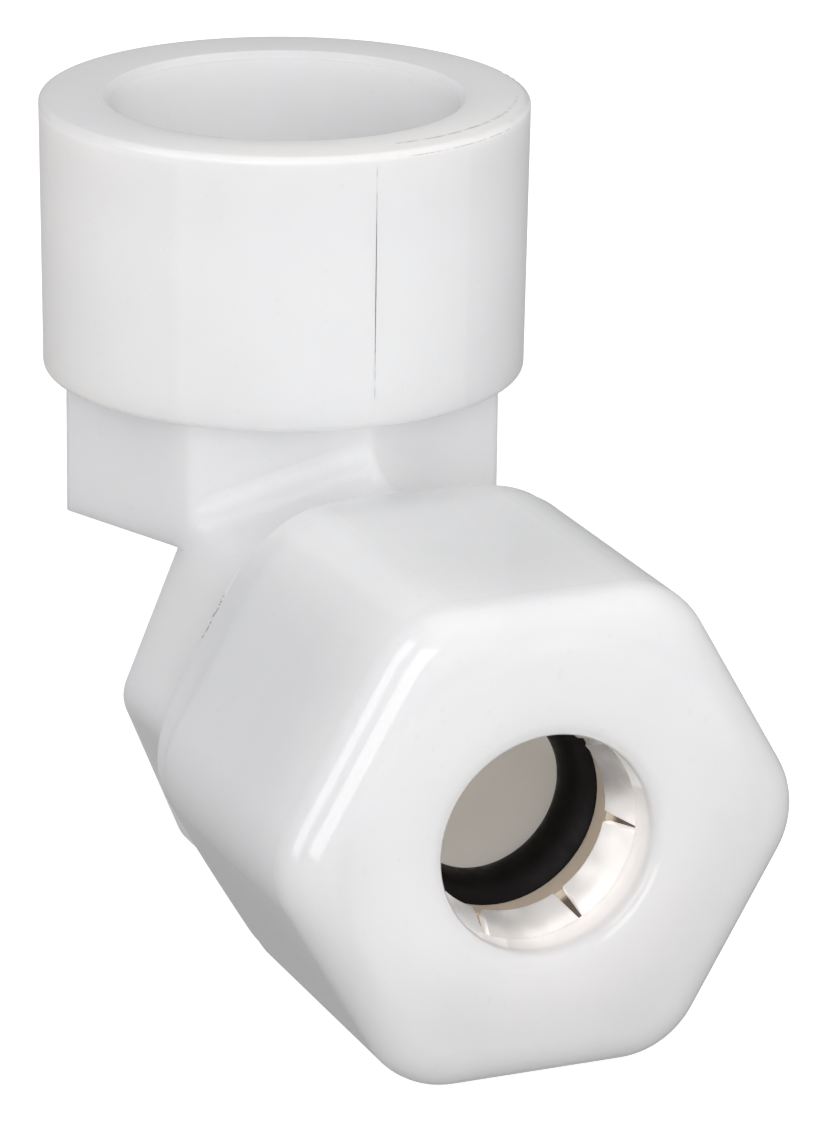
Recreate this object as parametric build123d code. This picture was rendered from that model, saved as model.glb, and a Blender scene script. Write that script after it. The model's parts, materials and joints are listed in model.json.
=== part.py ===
from build123d import *
from math import cos, pi, radians, sin, tan
import os

# Female elbow for plastic tube: a moulded nylon body with a pipe socket on one leg and a
# compression end on the other, with the nut, grab ring, spacer and O-ring that close on the
# tube.
#
# Millimetres. The origin is the centre of the pipe socket's mouth. +Z leaves that mouth, and
# +X leaves the tube end, whose axis lies DROP below the mouth.

# ---- driving dimensions -------------------------------------------------------------------
DROP = 35.1  # socket mouth down to the tube axis

# pipe socket and the wrench hub under it, along Z
COLLAR_R_TOP = 15.45
COLLAR_R_BOTTOM = 15.25
COLLAR_HEIGHT = 17.5
NECK_R = 14.67  # across the octagon's corners
NECK_ROUNDING = 0.8
NECK_BOTTOM = 9.4  # above the tube axis
PIPE_ENTRY_R = 11.0
PIPE_ENTRY_DEPTH = 7.4
MOUTH_CHAMFER = 0.4
PIPE_PITCH = 25.4 / 14  # 1/2-14 pipe thread
PIPE_ROOT_R = 10.5  # where the thread starts
PIPE_THREAD_LENGTH = 12.0
PIPE_THREAD_HEIGHT = 1.3
PIPE_TAPER = 1.79  # degrees, half of the 1 in 16 taper
PIPE_NARROW_R = PIPE_ROOT_R - PIPE_THREAD_LENGTH * tan(radians(PIPE_TAPER))  # its inner end

# inner passage and the knuckle around it
PASSAGE_R = 4.6
KNUCKLE_R = 6.6
WEB_WIDTH = 11.0  # fills the inner corner between the two hubs

# tube end, along X from the crossing of the two axes
HUB_R = 14.5  # across the octagon's corners
HUB_ROUNDING = 2.5
HUB_BACK = 8.8
HUB_FRONT = 19.5
BLEND_R = 2.6  # where the neck stands on the hub
SOCKET_R = 6.45  # for tube 12.7 mm across
TUBE_STOP = 19.0
BODY_END = 34.6
SEAT_R = 9.75
SEAT_FLOOR = 30.28

# thread between body and nut
PITCH = 2.5
BODY_ROOT_R = 11.0
BODY_CREST_R = 12.1
THREAD_START = 20.6
RADIAL_PLAY = 0.15
FLANK_PLAY = 0.15
BODY_RIDGE_BASE = 1.35
BODY_RIDGE_CREST = 0.55

# compression nut
NUT_BACK = 19.6
NUT_BACK_CHAMFER = 33.0  # degrees from the back face, takes off the corners only
NUT_FRONT = 42.8
NUT_FLAT = 15.0  # axis to flat
NUT_CORNER_R = 5.6
NUT_EDGE_R = 2.8  # rounding of the front edge
NUT_SKIRT = 2.6  # slightly inset band at the back
NUT_SKIRT_INSET = 0.12
NUT_MOUTH_R = 6.75
NUT_LIP_R = 1.0
NUT_SHOULDER = 39.8  # inner face that the grab ring bears on
NUT_CHAMBER_R = 9.85
NUT_CHAMBER_BACK = 35.2

# grab ring, spacer and O-ring
RING_OUTER_R = 9.7
SHEET = 0.45
PETALS = 7
PETAL_TIP_R = 6.0
PETAL_TIP = 36.95
PETAL_ROOT_R = 7.2
SLIT_PHASE = -8.3  # degrees from +Y towards +Z
SLIT_ROOT_WIDTH = 0.25
SLIT_TIP_WIDTH = 0.6
SPACER_R = 6.45
ORING_SECTION = 4.6
ORING_INNER_R = 5.05

GAP = 0.02  # between parts that bear on each other
EMBED = 0.15  # how far a ridge's foot sits inside its wall
CLEAR = 0.5  # how far a trimming solid stands outside what it trims

# local x, y, z of this plane are global Y, Z, X, with z = 0 where the two axes cross
tube_axis = Plane(origin=(0, 0, -DROP), x_dir=(0, 1, 0), z_dir=(1, 0, 0))


def rod(radius, start, end):
    """A cylinder on the local axis, from start to end."""
    on_base = (Align.CENTER, Align.CENTER, Align.MIN)
    return Pos(0, 0, start) * Cylinder(radius, end - start, align=on_base)


def turned(points):
    """A solid of revolution about the local axis, from (radius, height) points."""
    outline = make_face(Polyline([(r, 0, h) for r, h in points], close=True))
    return revolve(outline, Axis.Z)


def prism(sides, corner_radius, rounding, start, end):
    """A polygonal prism with rounded long edges, from start to end along the local axis."""
    outline = RegularPolygon(corner_radius, sides)
    outline = fillet(outline.vertices(), rounding)
    return Pos(0, 0, start) * extrude(outline, end - start)


def ridge(foot_r, crest_r, foot_width, crest_width, pitch, start, length, taper=0.0):
    """One right-hand helical thread ridge, starting on the local +X side."""
    path = Helix(pitch, length, foot_r, center=(0, 0, start), cone_angle=taper)
    across = Plane(origin=path @ 0, x_dir=(1, 0, 0), z_dir=path % 0)
    height = crest_r - foot_r
    outline = Polyline(
        (0, -foot_width / 2),
        (height, -crest_width / 2),
        (height, crest_width / 2),
        (0, foot_width / 2),
        close=True,
    )
    return sweep(across * make_face(outline), path=path, is_frenet=True)


def pipe_thread():
    """The tapered female ridge of the pipe socket, kept between its two end planes."""
    bottom = -PIPE_ENTRY_DEPTH - PIPE_THREAD_LENGTH
    foot_r = PIPE_NARROW_R + EMBED
    crest_r = foot_r - EMBED - PIPE_THREAD_HEIGHT
    foot_width = 0.86 * PIPE_PITCH
    thread = ridge(
        foot_r, crest_r, foot_width, 0.16 * PIPE_PITCH, PIPE_PITCH,
        bottom - PIPE_PITCH, PIPE_THREAD_LENGTH + PIPE_PITCH, PIPE_TAPER,
    )
    return thread & rod(PIPE_ENTRY_R, bottom, -PIPE_ENTRY_DEPTH - 0.3)


def inner_corner():
    """The blend where the neck stands on the hub, down to the level of the neck's bottom."""
    neck = prism(8, NECK_R, NECK_ROUNDING, -2 * DROP, -COLLAR_HEIGHT)
    hub = tube_axis.location * prism(8, HUB_R, HUB_ROUNDING, 0, HUB_FRONT)
    crossing = neck + hub
    crossing = fillet(new_edges(neck, hub, combined=crossing), BLEND_R)
    to_min = (Align.MIN, Align.CENTER, Align.MIN)
    height = DROP - NECK_BOTTOM - COLLAR_HEIGHT
    return crossing & Pos(HUB_BACK, 0, NECK_BOTTOM - DROP) * Box(HUB_R, 26, height, align=to_min)


def elbow_body():
    """The moulded body: socket, two octagonal hubs, knuckle, threaded end and all its bores."""
    collar = turned([
        (0, -COLLAR_HEIGHT), (COLLAR_R_BOTTOM, -COLLAR_HEIGHT), (COLLAR_R_TOP, 0), (0, 0),
    ])
    collar = fillet(collar.edges().filter_by(GeomType.CIRCLE), 0.4)
    neck_bottom = NECK_BOTTOM - DROP
    neck = prism(8, NECK_R, NECK_ROUNDING, neck_bottom, -COLLAR_HEIGHT + 1)
    knuckle = Pos(0, 0, -DROP) * Sphere(KNUCKLE_R) + rod(KNUCKLE_R, -DROP, neck_bottom + 1)
    upper = collar + neck + knuckle

    hub = prism(8, HUB_R, HUB_ROUNDING, HUB_BACK, HUB_FRONT)
    hub = fillet(hub.faces().sort_by(Axis.Z)[0].edges(), 0.45)
    core = rod(KNUCKLE_R, 0, HUB_BACK + 1) + rod(BODY_ROOT_R, HUB_FRONT - 1, BODY_END)
    to_min = (Align.MIN, Align.CENTER, Align.MIN)
    web = Pos(0, 0, -DROP) * Box(HUB_BACK + 1, WEB_WIDTH, NECK_BOTTOM + 1, align=to_min)
    body = upper + web + tube_axis.location * (hub + core) + inner_corner()

    bore = turned([
        (0, -DROP),
        (PASSAGE_R, -DROP),
        (PASSAGE_R, -PIPE_ENTRY_DEPTH - PIPE_THREAD_LENGTH - 3),
        (PIPE_NARROW_R, -PIPE_ENTRY_DEPTH - PIPE_THREAD_LENGTH),
        (PIPE_ROOT_R, -PIPE_ENTRY_DEPTH),
        (PIPE_ENTRY_R, -PIPE_ENTRY_DEPTH + 0.5),
        (PIPE_ENTRY_R, -MOUTH_CHAMFER),
        (PIPE_ENTRY_R + MOUTH_CHAMFER, 0),
        (0, 0),
    ])
    corner = Pos(0, 0, -DROP) * Sphere(PASSAGE_R)
    tube_bore = turned([
        (0, 0),
        (PASSAGE_R, 0),
        (PASSAGE_R, TUBE_STOP),
        (SOCKET_R, TUBE_STOP),
        (SOCKET_R, SEAT_FLOOR - 0.3),
        (SOCKET_R + 0.3, SEAT_FLOOR),
        (SEAT_R, SEAT_FLOOR),
        (SEAT_R, BODY_END - 0.4),
        (SEAT_R + 0.4, BODY_END),
        (0, BODY_END),
    ])
    body = body - bore - corner - tube_axis.location * tube_bore

    lead_in = BODY_CREST_R - BODY_ROOT_R + CLEAR
    envelope = turned([
        (SEAT_R + EMBED, THREAD_START),
        (BODY_ROOT_R, THREAD_START),
        (BODY_CREST_R + CLEAR, THREAD_START + lead_in),
        (BODY_CREST_R + CLEAR, BODY_END - lead_in),
        (BODY_ROOT_R, BODY_END),
        (SEAT_R + EMBED, BODY_END),
    ])
    foot_r = BODY_ROOT_R - EMBED
    thread = envelope & ridge(
        foot_r, BODY_CREST_R, *widths(foot_r, BODY_CREST_R),
        PITCH, THREAD_START - PITCH, BODY_END - THREAD_START + 2 * PITCH,
    )
    return body + tube_axis.location * thread + pipe_thread()


def widths(*radii):
    """The body ridge's width at each radius, on its straight flanks."""
    slope = (BODY_RIDGE_BASE - BODY_RIDGE_CREST) / (BODY_CREST_R - BODY_ROOT_R)
    return [BODY_RIDGE_BASE - slope * (r - BODY_ROOT_R) for r in radii]


def mouth_lip():
    """What the rounded lip takes off the mouth of the nut."""
    middle_r = NUT_MOUTH_R + NUT_LIP_R
    middle_h = NUT_FRONT - NUT_LIP_R
    start = (NUT_MOUTH_R, 0, middle_h)
    end = (middle_r, 0, NUT_FRONT)
    halfway = (middle_r - NUT_LIP_R * cos(pi / 4), 0, middle_h + NUT_LIP_R * sin(pi / 4))
    outline = ThreePointArc(start, halfway, end) + Polyline(end, (0, 0, NUT_FRONT), (0, 0, middle_h), start)
    return revolve(make_face(outline), Axis.Z)


def compression_nut():
    """The hex nut: rounded corners and front edge, female thread, chamber and tube mouth."""
    corner = NUT_FLAT / cos(pi / 6)
    shell = prism(6, corner, NUT_CORNER_R, NUT_BACK + NUT_SKIRT, NUT_FRONT)
    shell = fillet(shell.faces().sort_by(Axis.Z)[-1].edges(), NUT_EDGE_R)
    skirt_corner = (NUT_FLAT - NUT_SKIRT_INSET) / cos(pi / 6)
    skirt = prism(6, skirt_corner, NUT_CORNER_R, NUT_BACK, NUT_BACK + NUT_SKIRT + 1)
    chamfer_r = NUT_FLAT - 0.2
    blank = turned([
        (0, NUT_BACK),
        (chamfer_r, NUT_BACK),
        (chamfer_r + 3, NUT_BACK + 3 * tan(radians(NUT_BACK_CHAMFER))),
        (chamfer_r + 3, NUT_FRONT + CLEAR),
        (0, NUT_FRONT + CLEAR),
    ])

    root_r = BODY_CREST_R + RADIAL_PLAY
    crest_r = BODY_ROOT_R + RADIAL_PLAY
    cavity = turned([
        (0, NUT_BACK),
        (root_r + 0.5, NUT_BACK),
        (root_r, NUT_BACK + 0.5),
        (root_r, NUT_CHAMBER_BACK - 0.2),
        (NUT_CHAMBER_R, NUT_CHAMBER_BACK),
        (NUT_CHAMBER_R, NUT_SHOULDER),
        (NUT_MOUTH_R, NUT_SHOULDER),
        (NUT_MOUTH_R, NUT_FRONT),
        (0, NUT_FRONT),
    ])
    nut = (shell + skirt & blank) - cavity - mouth_lip()

    # the nut's ridge fills the body's groove, less the play on each flank
    foot_r = root_r + EMBED
    foot_width, crest_width = [PITCH - w - 2 * FLANK_PLAY for w in widths(foot_r, crest_r)]
    thread_back = NUT_BACK + 1.5
    thread = ridge(
        foot_r, crest_r, foot_width, crest_width,
        PITCH, THREAD_START - 1.5 * PITCH, NUT_CHAMBER_BACK - THREAD_START + 2 * PITCH,
    )
    envelope = turned([
        (crest_r - CLEAR, thread_back + root_r - crest_r + CLEAR),
        (root_r + CLEAR, thread_back - CLEAR),
        (root_r + CLEAR, NUT_CHAMBER_BACK - CLEAR),
        (crest_r - CLEAR, NUT_CHAMBER_BACK - CLEAR),
    ])
    return tube_axis.location * (nut + (thread & envelope))


def grab_ring():
    """The stamped stainless ring: a flat rim, and petals that lean in towards the tube stop."""
    front = NUT_SHOULDER - GAP
    lean = SHEET * 1.1
    profile = turned([
        (RING_OUTER_R, front - SHEET),
        (RING_OUTER_R, front),
        (PETAL_ROOT_R, front),
        (PETAL_TIP_R, PETAL_TIP + 0.1),
        (PETAL_TIP_R + 0.15, PETAL_TIP),
        (PETAL_TIP_R + lean, PETAL_TIP + 0.1),
        (PETAL_ROOT_R + lean, front - SHEET),
    ])
    slit = make_face(Polyline(
        (PETAL_TIP_R - 1, -SLIT_TIP_WIDTH),
        (PETAL_TIP_R + 0.35, -SLIT_TIP_WIDTH / 2),
        (PETAL_ROOT_R + 0.3, -SLIT_ROOT_WIDTH / 2),
        (PETAL_ROOT_R + 0.3, SLIT_ROOT_WIDTH / 2),
        (PETAL_TIP_R + 0.35, SLIT_TIP_WIDTH / 2),
        (PETAL_TIP_R - 1, SLIT_TIP_WIDTH),
        close=True,
    ))
    cutter = Pos(0, 0, PETAL_TIP - 1) * extrude(slit, front - PETAL_TIP + 2)
    for petal in range(PETALS):
        profile -= Rot(0, 0, SLIT_PHASE + petal * 360 / PETALS) * cutter
    return tube_axis.location * profile


def spacer_ring():
    """The plastic spacer: bears on the O-ring, and has a conical recess for the petals."""
    back = SEAT_FLOOR + ORING_SECTION + GAP
    front = NUT_SHOULDER - SHEET - 2 * GAP
    recess_r = PETAL_ROOT_R + 1.3
    spacer = turned([
        (SPACER_R, back),
        (RING_OUTER_R, back),
        (RING_OUTER_R, front),
        (recess_r, front),
        (SPACER_R + 0.55, PETAL_TIP - 0.45),
        (SPACER_R, PETAL_TIP - 0.45),
    ])
    return tube_axis.location * spacer


def o_ring():
    """The O-ring in the body's seat."""
    centre = SEAT_FLOOR + GAP / 2 + ORING_SECTION / 2
    ring = Pos(0, 0, centre) * Torus(ORING_INNER_R + ORING_SECTION / 2, ORING_SECTION / 2)
    return tube_axis.location * ring


nodes = {
    "elbow_body": elbow_body,
    "compression_nut": compression_nut,
    "grab_ring": grab_ring,
    "spacer_ring": spacer_ring,
    "o_ring": o_ring,
}

os.makedirs("parts", exist_ok=True)
for name, make in nodes.items():
    export_step(make(), f"parts/{name}.step")
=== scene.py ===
import bpy
import json
import random
from math import cos, pi, radians, sin
from mathutils import Matrix, Vector


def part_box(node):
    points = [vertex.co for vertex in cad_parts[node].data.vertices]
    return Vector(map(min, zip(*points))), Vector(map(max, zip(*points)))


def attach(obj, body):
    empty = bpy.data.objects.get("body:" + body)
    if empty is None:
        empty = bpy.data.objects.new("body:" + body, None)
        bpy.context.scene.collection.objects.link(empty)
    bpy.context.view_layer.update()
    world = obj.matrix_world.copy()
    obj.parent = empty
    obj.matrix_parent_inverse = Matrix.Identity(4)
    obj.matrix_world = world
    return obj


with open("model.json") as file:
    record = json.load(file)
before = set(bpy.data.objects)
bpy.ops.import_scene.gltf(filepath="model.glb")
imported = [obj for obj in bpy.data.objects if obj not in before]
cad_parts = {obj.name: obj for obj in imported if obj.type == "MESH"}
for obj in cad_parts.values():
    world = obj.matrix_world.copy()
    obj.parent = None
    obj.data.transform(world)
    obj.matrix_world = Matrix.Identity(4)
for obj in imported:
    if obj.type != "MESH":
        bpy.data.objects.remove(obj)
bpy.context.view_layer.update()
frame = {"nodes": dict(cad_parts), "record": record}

MM = 0.001

# ---- places and sizes on the part ---------------------------------------------------------
# The socket's rim lies at z = 0 around the origin, and the tube comes out along +X.
tube_point = Vector(next(m for m in frame["record"]["mounts"] if m["name"] == "tube_entry")["pos_m"])
crossing = Vector((0, 0, tube_point.z))  # where the socket's axis meets the tube's
floor_z = min(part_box(node)[0].z for node in frame["nodes"])
centre = (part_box("elbow_body")[0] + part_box("compression_nut")[1]) / 2

COLLAR_R = 15.45 * MM  # the round collar's outside at the rim
COLLAR_TAPER = 0.2 / 17.5  # how much the radius shrinks for each length of depth
COLLAR_SKIN_R = 14.8 * MM  # between the octagon's flats and the collar's outside
NUT_BAND_R = 14.88 * MM  # to the flats of the slightly inset band at the nut's back
NUT_LEFT_OUT = Vector((0, -0.866, 0.5))  # out of the nut's upper left flat
NUT_LEFT_DOWN = Vector((0, -0.5, -0.866))  # down along that flat, across the tube
LEFT, RIGHT = -1, 1  # signs of the angle around the socket's axis, measured from +X

# Colours of light
WHITE = (1, 1, 1)
COOL = (0.96, 0.95, 1.0)
WARM = (1.0, 0.90, 0.74)
PALE_WARM = (1.0, 0.95, 0.89)


# ---- camera -------------------------------------------------------------------------------
def view_axes(azimuth, elevation, roll):
    """Right, up and backward axes of a view from azimuth (degrees from +X towards -Y)."""
    az, el, turn = radians(azimuth), radians(elevation), radians(roll)
    back = Vector((cos(el) * cos(az), -cos(el) * sin(az), sin(el)))
    level = Vector((0, 0, 1)).cross(back).normalized()
    upright = back.cross(level)
    right = level * cos(turn) + upright * sin(turn)
    up = upright * cos(turn) - level * sin(turn)
    return right, up, back


def add_camera():
    right, up, back = view_axes(azimuth=23.04, elevation=18.68, roll=0.69)
    aim = crossing + right * 8.53 * MM + up * 3.91 * MM
    distance = 400.2 * MM
    data = bpy.data.cameras.new("camera")
    data.sensor_width = 36
    data.lens = 198.6
    data.clip_start = 0.01
    camera = bpy.data.objects.new("camera", data)
    bpy.context.scene.collection.objects.link(camera)
    turn = Matrix((right, up, back)).transposed().to_4x4()
    camera.matrix_world = Matrix.Translation(aim + back * distance) @ turn
    bpy.context.scene.camera = camera


# ---- node helpers -------------------------------------------------------------------------
class Nodes:
    """Short ways to add nodes to a node tree and link them."""

    def __init__(self, tree, coordinate):
        self.tree = tree
        self.place = self.add("ShaderNodeTexCoord").outputs[coordinate]

    def add(self, kind, **settings):
        node = self.tree.nodes.new(kind)
        for key, value in settings.items():
            setattr(node, key, value)
        return node

    def give(self, socket, value):
        """Links a socket to value if value is an output, and sets it if it is not."""
        if isinstance(value, bpy.types.NodeSocket):
            self.tree.links.new(value, socket)
        else:
            socket.default_value = value

    def feed(self, node, **inputs):
        """Gives inputs by name, with underscores for spaces."""
        for key, value in inputs.items():
            self.give(node.inputs[key.replace("_", " ")], value)
        return node

    def noise(self, scale, detail=2.0):
        node = self.add("ShaderNodeTexNoise")
        self.feed(node, Vector=self.place, Scale=scale, Detail=detail)
        return node.outputs["Fac"]

    def ramp(self, value, low, high, from_value=0.0, to_value=1.0):
        """Maps value from low..high to from_value..to_value, smoothly and clamped."""
        node = self.add("ShaderNodeMapRange", interpolation_type="SMOOTHSTEP")
        self.feed(node, Value=value, From_Min=low, From_Max=high, To_Min=from_value, To_Max=to_value)
        return node.outputs["Result"]

    def math(self, operation, *values):
        node = self.add("ShaderNodeMath", operation=operation)
        for socket, value in zip(node.inputs, values):
            self.give(socket, value)
        return node.outputs["Value"]

    def chain(self, operation, values):
        """Joins several values with one operation, from the left."""
        result = values[0]
        for value in values[1:]:
            result = self.math(operation, result, value)
        return result

    def total(self, *values):
        return self.chain("ADD", values)

    def product(self, *values):
        return self.chain("MULTIPLY", values)

    def xyz(self):
        node = self.feed(self.add("ShaderNodeSeparateXYZ"), Vector=self.place)
        return node.outputs

    def reach(self, point, *across):
        """Distance from point, measured only along the given axes (0, 1, 2 for X, Y, Z)."""
        axes = self.xyz()
        squares = [self.math("POWER", self.math("SUBTRACT", axes[k], point[k]), 2.0) for k in across]
        return self.math("SQRT", self.total(*squares))

    def band(self, value, low, high, soft):
        """1 where value lies between low and high, 0 outside, with soft edges."""
        rise = self.ramp(value, low, low + soft)
        return self.product(rise, self.ramp(value, high - soft, high, 1.0, 0.0))

    def blend(self, factor, first, second):
        """Mixes two colours."""
        node = self.add("ShaderNodeMix", data_type="RGBA")
        self.give(node.inputs[0], factor)
        self.give(node.inputs[6], first)
        self.give(node.inputs[7], second)
        return node.outputs[2]

    def bump(self, height, strength, distance, normal=None):
        node = self.add("ShaderNodeBump")
        self.feed(node, Height=height, Strength=strength, Distance=distance)
        if normal is not None:
            self.feed(node, Normal=normal)
        return node.outputs["Normal"]


class Recipe(Nodes):
    """A new material with a Principled shader. Its coordinates are the object's, in metres."""

    def __init__(self, name):
        self.material = bpy.data.materials.new(name)
        self.material.use_nodes = True
        super().__init__(self.material.node_tree, "Object")
        self.shader = self.tree.nodes["Principled BSDF"]


# ---- nylon --------------------------------------------------------------------------------
def nylon(name, roughness, grain, scatter, glow, glow_colour, tone):
    """Milky translucent nylon: light scatters inside it, under a faintly mottled skin.

    The coat is a thin hazy skin. It hardly reflects, and it takes more light from surfaces
    seen edge-on than from those that face the eye. grain scales the bumps of the skin, and
    scatter is how far light goes inside. glow(recipe) is painted light: an emission that stands
    for the light coming out of the wall from inside it. The last argument, called with the
    recipe, gives how far the colour falls towards grey: painted shade, and on the body also
    the trimmed flash line, a real mark.
    """
    light, dark = (0.93, 0.93, 0.94, 1), (0.91, 0.91, 0.92, 1)
    speck_grey, shade_and_mark_grey = (0.5, 0.49, 0.47, 1), (0.30, 0.28, 0.27, 1)
    m = Recipe(name)
    mottle = m.noise(140.0, detail=3.0)
    colour = m.blend(m.ramp(mottle, 0.35, 0.65), light, dark)
    speck = m.noise(1900.0, detail=0.0)
    colour = m.blend(m.ramp(speck, 0.78, 0.82, 0.0, 0.05), colour, speck_grey)
    # Painted shade (and on the body the real trimmed flash line) pulls the colour towards grey.
    colour = m.blend(tone(m), colour, shade_and_mark_grey)
    skin = m.bump(m.noise(420.0), 0.05 * grain, 0.3 * MM)
    skin = m.bump(m.noise(2600.0), 0.03 * grain, 0.04 * MM, skin)
    m.feed(
        m.shader,
        Base_Color=colour,
        Roughness=m.ramp(m.noise(300.0), 0.3, 0.7, roughness - 0.01, roughness + 0.02),
        Subsurface_Weight=1.0,
        Subsurface_Radius=(1.0, 0.96, 0.92),
        Subsurface_Scale=scatter,
        IOR=1.53,
        Coat_Weight=1.0,
        Coat_Roughness=0.4,
        Coat_IOR=1.02,
        Coat_Tint=(0.965, 0.965, 0.965, 1),
        # Painted light: this emission stands for light carried out of the wall from inside.
        Emission_Color=(*glow_colour, 1),
        Emission_Strength=glow(m),
        Normal=skin,
    )
    return m.material


def bore_glow(m, bore_r, start, end):
    """1 on the wall of the tube's bore, inside bore_r, from start to end along X."""
    inside = m.ramp(m.reach(tube_point, 1, 2), bore_r, bore_r + 0.2 * MM, 1.0, 0.0)
    return m.product(inside, m.band(m.xyz()[0], start, end, 1 * MM))


def clear_of_back(m, around, side):
    """Fades to 0 at the collar's back, where the angle around it jumps from -pi to pi."""
    return m.ramp(around, side * 2.9, side * 1.9)


def body_glow(m):
    """Painted light: an emission standing for light carried through the wall to the tube's bore,
    the near rim and the collar's left.
    """
    x, y, z = m.xyz()
    tube = m.product(bore_glow(m, 6.6 * MM, 18 * MM, 33 * MM), 0.13)
    rim = m.product(m.ramp(z, -0.6 * MM, -0.3 * MM), m.ramp(x, 4 * MM, 14 * MM, 0.0, 0.09))
    around = m.math("ARCTAN2", y, x)
    wall = m.product(m.ramp(around, -0.4, -1.3, 0.0, 0.085), clear_of_back(m, around, LEFT))
    outside = m.ramp(m.reach((0, 0, 0), 0, 1), COLLAR_SKIN_R, COLLAR_SKIN_R + 0.3 * MM)
    collar = m.product(m.band(z, -18.0 * MM, -0.2 * MM, 0.4 * MM), outside)
    return m.total(tube, rim, m.product(wall, collar))


def nut_glow(m):
    """Painted light: an emission standing for light carried through the nut's wall to its chamber,
    up to just behind the mouth.
    """
    return m.product(bore_glow(m, 9.9 * MM, 34 * MM, 42.2 * MM), 0.21)


def collar_shade_steps(m, z, out, around):
    """Painted shade: the collar greys in two soft steps, beyond the octagon's corners on either side."""
    left = m.product(m.ramp(around, -0.79, -0.86, 0.0, 0.05), clear_of_back(m, around, LEFT))
    right = m.product(m.ramp(around, 0.43, 0.47, 0.0, 0.04), clear_of_back(m, around, RIGHT))
    outside = m.ramp(out, COLLAR_SKIN_R, COLLAR_SKIN_R + 0.3 * MM)
    return m.product(m.total(left, right), m.band(z, -17.6 * MM, -0.6 * MM, 0.4 * MM), outside)


def witness_line(m, z, out, around):
    """A ragged line on the rim where flash was trimmed, along its face and over its edge."""
    half, soft = 0.16 * MM, 0.1 * MM
    middle = m.total(m.product(around, 0.9 * MM), 13.35 * MM)
    middle = m.total(middle, m.product(m.noise(500.0), 0.25 * MM))
    face = m.band(m.math("SUBTRACT", out, middle), -half, half, soft)
    edge = m.band(z, -0.42 * MM, -0.30 * MM, 0.05 * MM)
    broken_up = m.ramp(m.noise(1500.0), 0.35, 0.65, 0.1, 0.65)
    ragged = m.product(broken_up, m.ramp(around, 1.2, 0.6, 0.3, 1.0))
    sliver = m.product(m.band(around, 0.12, 1.2, 0.03), m.ramp(z, -0.5 * MM, -0.4 * MM), ragged)
    return m.product(m.math("MAXIMUM", face, edge), sliver)


def body_tone(m):
    """Painted shade on the body: greyer towards the top of the collar's outside and on the rim's
    far side, on the collar beyond the octagon's corners, and on the neck and the hub's lower
    flats. The trimmed flash line laid over it is a real mark."""
    x, y, z = m.xyz()
    out = m.reach((0, 0, 0), 0, 1)
    around = m.math("ARCTAN2", y, x)
    outside = m.ramp(out, COLLAR_SKIN_R, COLLAR_SKIN_R + 0.5 * MM)
    top = m.product(m.ramp(z, -8.0 * MM, -1.0 * MM, 0.0, 0.09), outside)
    far = m.product(m.ramp(z, -0.6 * MM, -0.3 * MM), m.ramp(x, -14 * MM, 8 * MM, 0.17, 0.0))
    steps = collar_shade_steps(m, z, out, around)
    neck = m.product(m.band(z, -26 * MM, -17 * MM, 1 * MM), 0.05)
    hub = m.product(m.band(z, -43 * MM, -33 * MM, 3 * MM), 0.24)
    # Painted shade: the sum of the greying above.
    painted_shade = m.total(top, far, steps, neck, hub)
    return m.math("MAXIMUM", painted_shade, witness_line(m, z, out, around))


def nut_tone(m):
    """Painted shade on the nut: greyer towards its lower far corner, low on its left flat, and on
    its rounded front edge."""
    x, y, z = m.xyz()
    height = m.math("SUBTRACT", z, tube_point.z)
    left = m.product(m.ramp(y, -10 * MM, -13 * MM), m.ramp(height, 8 * MM, 2 * MM, 0.0, 0.06))
    slant = m.math("SUBTRACT", height, m.product(y, 0.35))
    corner = m.ramp(slant, 10 * MM, -16 * MM, 0.0, 0.27)
    outside = m.ramp(m.reach(tube_point, 1, 2), 12.2 * MM, 13.4 * MM)
    front = m.band(x, 39.5 * MM, 43.5 * MM, 1 * MM)
    edge = m.product(front, outside, m.ramp(slant, -10 * MM, 0), 0.07)
    return m.total(corner, edge, left)


# ---- the other materials ------------------------------------------------------------------
def stainless():
    """Bright stamped stainless sheet, with faint drawing marks.

    The petals' glow stands for the bright mouth they mirror, strongest on the lower right.
    """
    m = Recipe("stainless_sheet")
    _, y, z = m.xyz()
    height = m.math("SUBTRACT", z, tube_point.z)
    lower_right = m.ramp(m.math("SUBTRACT", y, height), 4.5 * MM, 9.0 * MM, 0.0, 0.26)
    low = m.ramp(height, 5 * MM, -6 * MM, 0.22, 0.48)
    patch = m.ramp(m.noise(330.0, detail=1.0), 0.32, 0.68, 0.60, 1.12)
    m.feed(
        m.shader,
        Base_Color=m.blend(m.noise(400.0), (0.95, 0.93, 0.92, 1), (0.86, 0.83, 0.82, 1)),
        Metallic=1.0,
        Roughness=m.ramp(m.noise(600.0), 0.3, 0.7, 0.28, 0.36),
        Emission_Color=(1.0, 0.985, 0.975, 1),
        Emission_Strength=m.product(m.total(low, lower_right), patch),
    )
    return m.material


def spacer_plastic():
    """Beige plastic of the spacer, with painted shade in the recess behind the petals."""
    scattering = 0.4
    m = Recipe("beige_spacer")
    colour = m.blend(m.noise(500.0), (0.79, 0.68, 0.56, 1), (0.74, 0.63, 0.51, 1))
    recess_shade = m.ramp(m.reach(tube_point, 1, 2), 6.85 * MM, 7.15 * MM)
    m.feed(
        m.shader,
        # Painted shade: dark brown in the recess behind the petals, with no scattering there.
        Base_Color=m.blend(recess_shade, colour, (0.16, 0.12, 0.09, 1)),
        Roughness=0.45,
        Subsurface_Weight=m.math("SUBTRACT", scattering, m.product(recess_shade, scattering)),
        Subsurface_Radius=(1.0, 0.8, 0.6),
        Subsurface_Scale=0.8 * MM,
        Normal=m.bump(m.noise(1500.0), 0.1, 0.1 * MM),
    )
    return m.material


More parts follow.
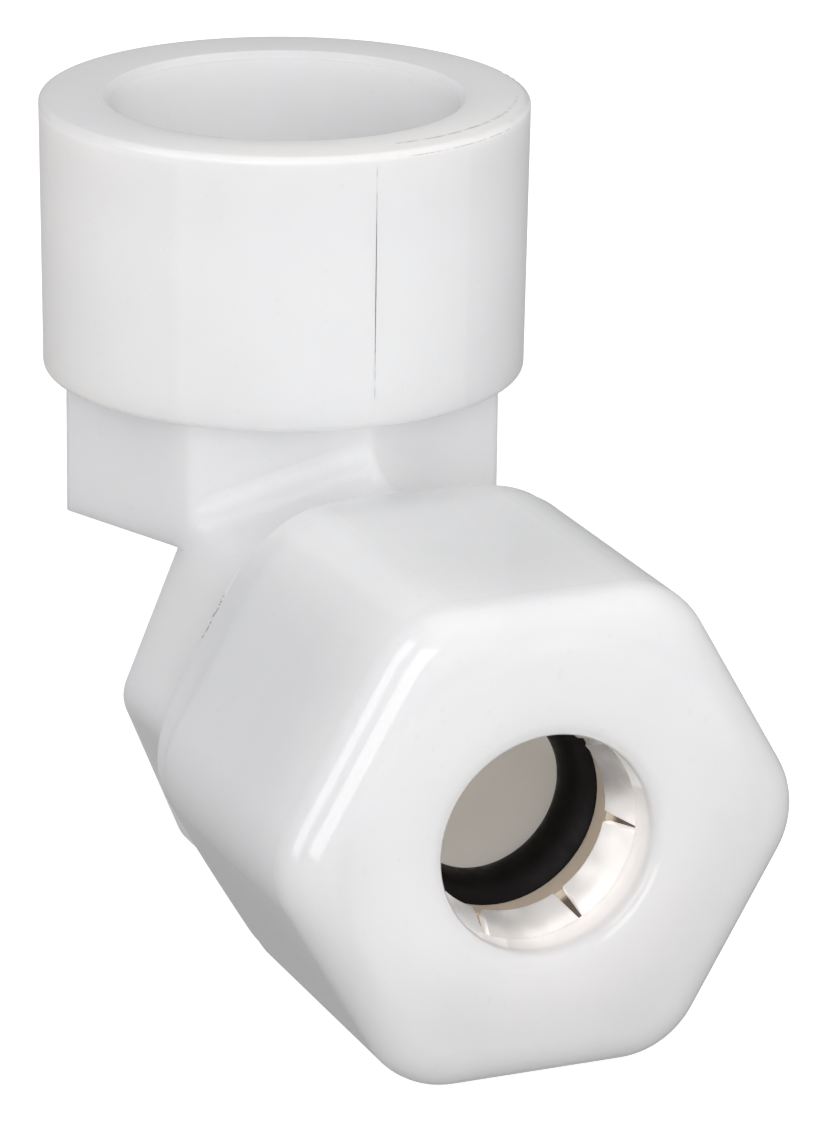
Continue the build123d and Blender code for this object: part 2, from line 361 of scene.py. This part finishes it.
def nitrile():
    """Black nitrile rubber with a slight sheen."""
    black, worn = (0.004, 0.003, 0.003, 1), (0.008, 0.007, 0.007, 1)
    m = Recipe("nitrile_rubber")
    m.feed(
        m.shader,
        Base_Color=m.blend(m.noise(700.0, detail=3.0), black, worn),
        Roughness=m.ramp(m.noise(1200.0), 0.3, 0.7, 0.42, 0.56),
        Specular_IOR_Level=0.1,
        Normal=m.bump(m.noise(3000.0, detail=3.0), 0.2, 0.08 * MM),
    )
    return m.material


def flash_dark_marks():
    """Dark marks along the flash."""
    dark, light = (0.16, 0.14, 0.13, 1), (0.50, 0.47, 0.45, 1)
    m = Recipe("flash_dark_marks")
    m.feed(
        m.shader,
        Base_Color=m.blend(m.noise(1800.0, detail=3.0), dark, light),
        Roughness=0.7,
        Normal=m.bump(m.noise(4000.0), 0.3, 0.05 * MM),
    )
    return m.material


def dress(node, material):
    """Gives a CAD node its finished material."""
    data = frame["nodes"][node].data
    data.materials.clear()
    data.materials.append(material)


# ---- stage --------------------------------------------------------------------------------
def add_floor():
    """A plain pale floor, a hair under the lowest point of the part.

    It brightens away from the part, and the light it sends back up is left to the studio.
    """
    half = 1500 * MM
    corners = [(-half, -half, 0), (half, -half, 0), (half, half, 0), (-half, half, 0)]
    mesh = bpy.data.meshes.new("floor")
    mesh.from_pydata(corners, [], [(0, 1, 2, 3)])
    floor = bpy.data.objects.new("floor", mesh)
    floor.location = (centre.x, centre.y, floor_z - 0.05 * MM)
    floor.visible_diffuse = False
    floor.visible_glossy = False
    floor.visible_shadow = False
    bpy.context.scene.collection.objects.link(floor)
    m = Recipe("pale_floor")
    lift = m.ramp(m.reach((0, 0, 0), 0, 1), 20 * MM, 200 * MM, 0.82, 0.92)
    m.feed(m.shader, Base_Color=(0.45, 0.45, 0.45, 1), Roughness=0.9, Specular_IOR_Level=0.0)
    m.feed(m.shader, Emission_Color=(*WHITE, 1), Emission_Strength=lift)
    mesh.materials.append(m.material)


def softbox(name, direction, upright, distance, size, radiance, tint=WHITE, only=None):
    """A rectangular studio light that faces the part, with distance and size in metres.

    direction points from the part to the light, and the height of size runs along upright.
    only="diffuse" leaves it out of reflections, and only="glossy" shows it nowhere else.
    """
    width, height = size
    data = bpy.data.lights.new(name, "AREA")
    data.shape = "RECTANGLE"
    data.size = width
    data.size_y = height
    data.energy = radiance * pi * width * height
    data.color = tint
    light = bpy.data.objects.new(name, data)
    light.visible_diffuse = only != "glossy"
    light.visible_glossy = only != "diffuse"
    bpy.context.scene.collection.objects.link(light)
    away = Vector(direction).normalized()
    side = Vector(upright).cross(away).normalized()
    turn = Matrix((side, away.cross(side), away)).transposed().to_4x4()
    light.matrix_world = Matrix.Translation(centre + away * distance) @ turn


def add_studio():
    """An even room, darker underneath, with a white table in front."""
    world = bpy.data.worlds.new("studio")
    world.use_nodes = True
    w = Nodes(world.node_tree, "Generated")
    east, _, up = w.xyz()
    level = w.reach((0, 0, 0), 0, 1)
    ahead = w.ramp(w.math("DIVIDE", east, level), 0.18, 0.27)
    table = w.product(ahead, w.ramp(up, 0.0, -0.06), 0.10)
    room = w.ramp(up, -0.2, -0.7, 0.505, 0.41)
    background = world.node_tree.nodes["Background"]
    w.feed(background, Color=(*WHITE, 1), Strength=w.total(room, table))
    bpy.context.scene.world = world
    bpy.context.scene.view_settings.view_transform = "Standard"


def add_lights():
    """Soft light from the front, above and left, and two glints along the nut's left edge."""
    edge, upright, forward = -NUT_LEFT_DOWN, (0, 0, 1), (1, 0, 0)
    softbox("front_box", (0.94, -0.13, 0.32), edge, 0.7, (0.46, 0.6), 2.1, only="diffuse")
    softbox("top_box", (0.1, 0.3, 1.0), forward, 0.8, (0.9, 0.9), 0.67)
    softbox("left_fill", (-0.45, -0.80, 0.32), upright, 0.8, (0.6, 0.6), 0.95, COOL, only="diffuse")
    softbox("front_fill", (0.80, -0.45, 0.42), upright, 0.8, (0.3, 0.3), 2.2, COOL, only="diffuse")
    softbox("front_glint", (0.83, -0.45, 0.32), edge, 0.7, (0.38, 0.6), 2.7, only="glossy")
    softbox("side_glint", (0.18, -0.87, 0.49), edge, 0.7, (0.27, 0.8), 2.8, COOL, only="glossy")


# ---- moulding traces ----------------------------------------------------------------------
def ridges(name, spines, width, height, material, body):
    """One mesh of thin ridges. Each spine is a list of (point, outward) along a surface."""
    verts, faces = [], []
    for spine in spines:
        last = len(spine) - 1
        for k, (point, outward) in enumerate(spine):
            ahead = spine[min(k + 1, last)][0] - spine[max(k - 1, 0)][0]
            across = outward.cross(ahead).normalized()
            swell = sin(pi * (k + 0.4) / (last + 0.8))
            foot = point - outward * 0.01 * MM
            n = len(verts)
            verts += [foot - across * width / 2 * swell, foot + across * width / 2 * swell]
            verts.append(point + outward * height * swell)
            if k:
                faces += [(n - 3, n, n + 2, n - 1), (n - 1, n + 2, n + 1, n - 2), (n - 2, n + 1, n, n - 3)]
            if k == 0:
                faces.append((n, n + 2, n + 1))
            if k == last:
                faces.append((n, n + 1, n + 2))
    mesh = bpy.data.meshes.new(name)
    mesh.from_pydata(verts, [], faces)
    mesh.materials.append(material)
    piece = bpy.data.objects.new(name, mesh)
    bpy.context.scene.collection.objects.link(piece)
    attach(piece, body)


def broken(start, end, shortest, longest, gap, rng):
    """Splits start..end into dashes of random length with random gaps, as (from, to) pairs."""
    dashes = []
    at = start
    while at < end:
        stop = min(at + rng.uniform(shortest, longest), end)
        dashes.append((at, stop))
        at = stop + rng.uniform(0.1, 1.0) * gap
    return dashes


def collar_spine(low, high, steps=6):
    """Along the parting line on the collar's front, from depth low to depth high.

    The line leans a little: it starts just left of the middle and ends nearer to it.
    """
    start_y, lean = -0.11 * MM, 0.0035
    spine = []
    for k in range(steps + 1):
        depth = low + (high - low) * k / steps
        point = Vector((COLLAR_R - COLLAR_TAPER * depth, start_y + lean * depth, -depth))
        spine.append((point, Vector((1, 0, 0))))
    return spine


def nut_spine(x, start, end, steps=6):
    """Along the upper left flat of the nut's band at x, between two distances from its middle."""
    middle = Vector((x, 0, tube_point.z)) + NUT_LEFT_OUT * NUT_BAND_R
    spine = []
    for k in range(steps + 1):
        along = start + (end - start) * k / steps
        spine.append((middle + NUT_LEFT_DOWN * along, NUT_LEFT_OUT))
    return spine


def add_collar_traces(rng, flash, dark_marks):
    """The parting line's flash down the collar's front, and dark marks along it."""
    line = collar_spine(0.7 * MM, 15.7 * MM, steps=40)
    dashes = broken(0.8 * MM, 15.6 * MM, shortest=0.15 * MM, longest=1.1 * MM, gap=1.0 * MM, rng=rng)
    spots = [collar_spine(low, high) for low, high in dashes]
    ridges("collar_flash", [line], width=0.07 * MM, height=0.02 * MM, material=flash, body="elbow")
    ridges("collar_dark_marks", spots, width=0.028 * MM, height=0.03 * MM, material=dark_marks, body="elbow")


def add_nut_traces(rng, burr, dark_marks):
    """Two lines of burr, at either end of the nut's inset band, and dark nicks in the rear one."""
    rear, fore = 19.66 * MM, 22.02 * MM
    lines = [
        nut_spine(rear, -4.6 * MM, 1.6 * MM, steps=20),
        nut_spine(fore, -1.4 * MM, 5.2 * MM, steps=24),
    ]
    ridges("nut_burr", lines, width=0.12 * MM, height=0.03 * MM, material=burr, body="nut")
    nicks = broken(-2.6 * MM, -0.6 * MM, shortest=0.1 * MM, longest=0.4 * MM, gap=0.2 * MM, rng=rng)
    nicks += broken(-2.2 * MM, 0.4 * MM, shortest=0.1 * MM, longest=0.5 * MM, gap=0.6 * MM, rng=rng)
    spots = [nut_spine((19.63 + rng.uniform(0.0, 0.2)) * MM, start, end) for start, end in nicks]
    ridges("nut_dark_marks", spots, width=0.05 * MM, height=0.06 * MM, material=dark_marks, body="nut")


add_camera()
add_studio()
add_lights()
add_floor()

# These nylons carry painted light in their glow and painted shade in their greying.
body_nylon = nylon(
    "body_nylon",
    roughness=0.30,
    grain=1.0,
    scatter=6.0 * MM,
    glow=body_glow,
    glow_colour=WARM,
    tone=body_tone,
)
nut_nylon = nylon(
    "nut_nylon",
    roughness=0.02,
    grain=0.2,
    scatter=5.0 * MM,
    glow=nut_glow,
    glow_colour=PALE_WARM,
    tone=nut_tone,
)
# The burr's glow is painted light that keeps the thin ridge lighter than its shaded sides.
burr_nylon_painted_glow = nylon(
    "burr_nylon_painted_glow",
    roughness=0.30,
    grain=1.0,
    scatter=1.0 * MM,
    glow=lambda m: 0.10,
    glow_colour=WHITE,
    tone=lambda m: 0.0,
)
dress("elbow_body", body_nylon)
dress("compression_nut", nut_nylon)
dress("grab_ring", stainless())
dress("spacer_ring", spacer_plastic())
dress("o_ring", nitrile())

rng = random.Random(5)
dark_marks = flash_dark_marks()
add_collar_traces(rng, body_nylon, dark_marks)
add_nut_traces(rng, burr_nylon_painted_glow, dark_marks)
